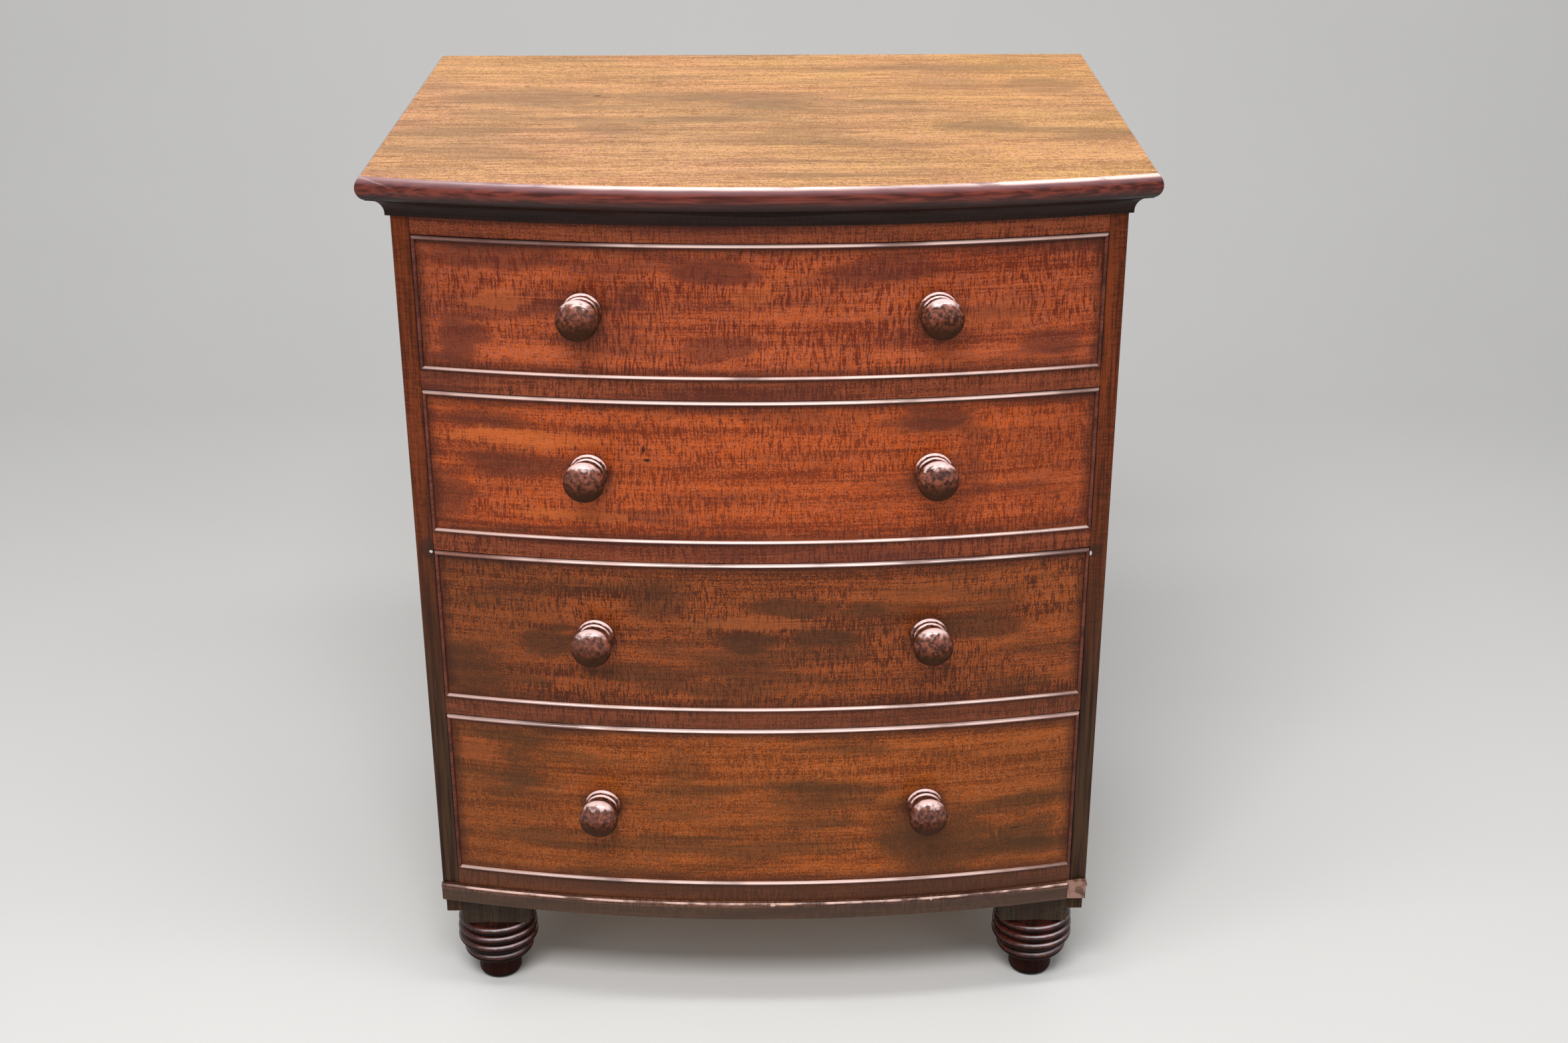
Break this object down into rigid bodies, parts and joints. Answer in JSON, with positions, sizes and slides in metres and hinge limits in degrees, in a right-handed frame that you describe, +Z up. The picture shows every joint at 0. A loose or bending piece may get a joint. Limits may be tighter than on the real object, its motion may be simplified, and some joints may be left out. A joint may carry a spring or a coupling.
{
  "type": "chest of drawers",
  "caption": "Bow fronted wooden chest of graduated drawers with turned knobs, overhanging top and ringed turned feet.",
  "frame": {"origin": "on the floor, in the middle of the overall width and depth", "axes": "+Z up, +X to the right as seen from the front, the bowed front faces -Y; drawers slide out along -Y"},
  "size_m": [0.658, 0.5248, 0.8085],
  "materials": {
    "top_mahogany": "worn golden brown wax polish, fine straight grain along the width",
    "case_mahogany": "dark red brown french polish, glossy on the edges",
    "front_mahogany": "red brown french polish, cloudy figure along the width",
    "turned_mahogany": "very dark red brown polish, glossy, rubbed on the high rings",
    "plain_pine": "bare aged pine, dry and matt"
  },
  "bodies": {
    "carcass": {"top_board": "top_mahogany", "top_moulding_front": "case_mahogany", "top_moulding_left": "case_mahogany", "top_moulding_right": "case_mahogany", "left_side": "case_mahogany", "right_side": "case_mahogany", "back_board_left": "plain_pine", "back_board_right": "plain_pine", "top_rail": "front_mahogany", "rail_1": "front_mahogany", "rail_2": "front_mahogany", "rail_3": "front_mahogany", "bottom_rail": "front_mahogany", "bottom_board": "plain_pine", "back_rail": "plain_pine", "runners_1": "plain_pine", "runners_2": "plain_pine", "runners_3": "plain_pine", "kickers": "plain_pine", "drawer_stops": "plain_pine", "plinth_front": "case_mahogany", "plinth_left": "case_mahogany", "plinth_right": "case_mahogany", "foot_blocks": "case_mahogany", "foot_front_left": "turned_mahogany", "foot_front_right": "turned_mahogany", "foot_back_left": "turned_mahogany", "foot_back_right": "turned_mahogany"},
    "drawer_1": {"drawer_1_front": "front_mahogany", "drawer_1_left_side": "plain_pine", "drawer_1_right_side": "plain_pine", "drawer_1_back": "plain_pine", "drawer_1_bottom": "plain_pine", "drawer_1_cockbeads": "turned_mahogany", "drawer_1_knob_left": "turned_mahogany", "drawer_1_knob_right": "turned_mahogany"},
    "drawer_2": {"drawer_2_front": "front_mahogany", "drawer_2_left_side": "plain_pine", "drawer_2_right_side": "plain_pine", "drawer_2_back": "plain_pine", "drawer_2_bottom": "plain_pine", "drawer_2_cockbeads": "turned_mahogany", "drawer_2_knob_left": "turned_mahogany", "drawer_2_knob_right": "turned_mahogany"},
    "drawer_3": {"drawer_3_front": "front_mahogany", "drawer_3_left_side": "plain_pine", "drawer_3_right_side": "plain_pine", "drawer_3_back": "plain_pine", "drawer_3_bottom": "plain_pine", "drawer_3_cockbeads": "turned_mahogany", "drawer_3_knob_left": "turned_mahogany", "drawer_3_knob_right": "turned_mahogany"},
    "drawer_4": {"drawer_4_front": "front_mahogany", "drawer_4_left_side": "plain_pine", "drawer_4_right_side": "plain_pine", "drawer_4_back": "plain_pine", "drawer_4_bottom": "plain_pine", "drawer_4_cockbeads": "turned_mahogany", "drawer_4_knob_left": "turned_mahogany", "drawer_4_knob_right": "turned_mahogany"}
  },
  "joints": [
    {"name": "drawer_1_slide", "type": "slide", "parent": "carcass", "child": "drawer_1", "axis": [0, -1, 0], "range_m": [0, 0.32]},
    {"name": "drawer_2_slide", "type": "slide", "parent": "carcass", "child": "drawer_2", "axis": [0, -1, 0], "range_m": [0, 0.32]},
    {"name": "drawer_3_slide", "type": "slide", "parent": "carcass", "child": "drawer_3", "axis": [0, -1, 0], "range_m": [0, 0.32]},
    {"name": "drawer_4_slide", "type": "slide", "parent": "carcass", "child": "drawer_4", "axis": [0, -1, 0], "range_m": [0, 0.32]}
  ]
}
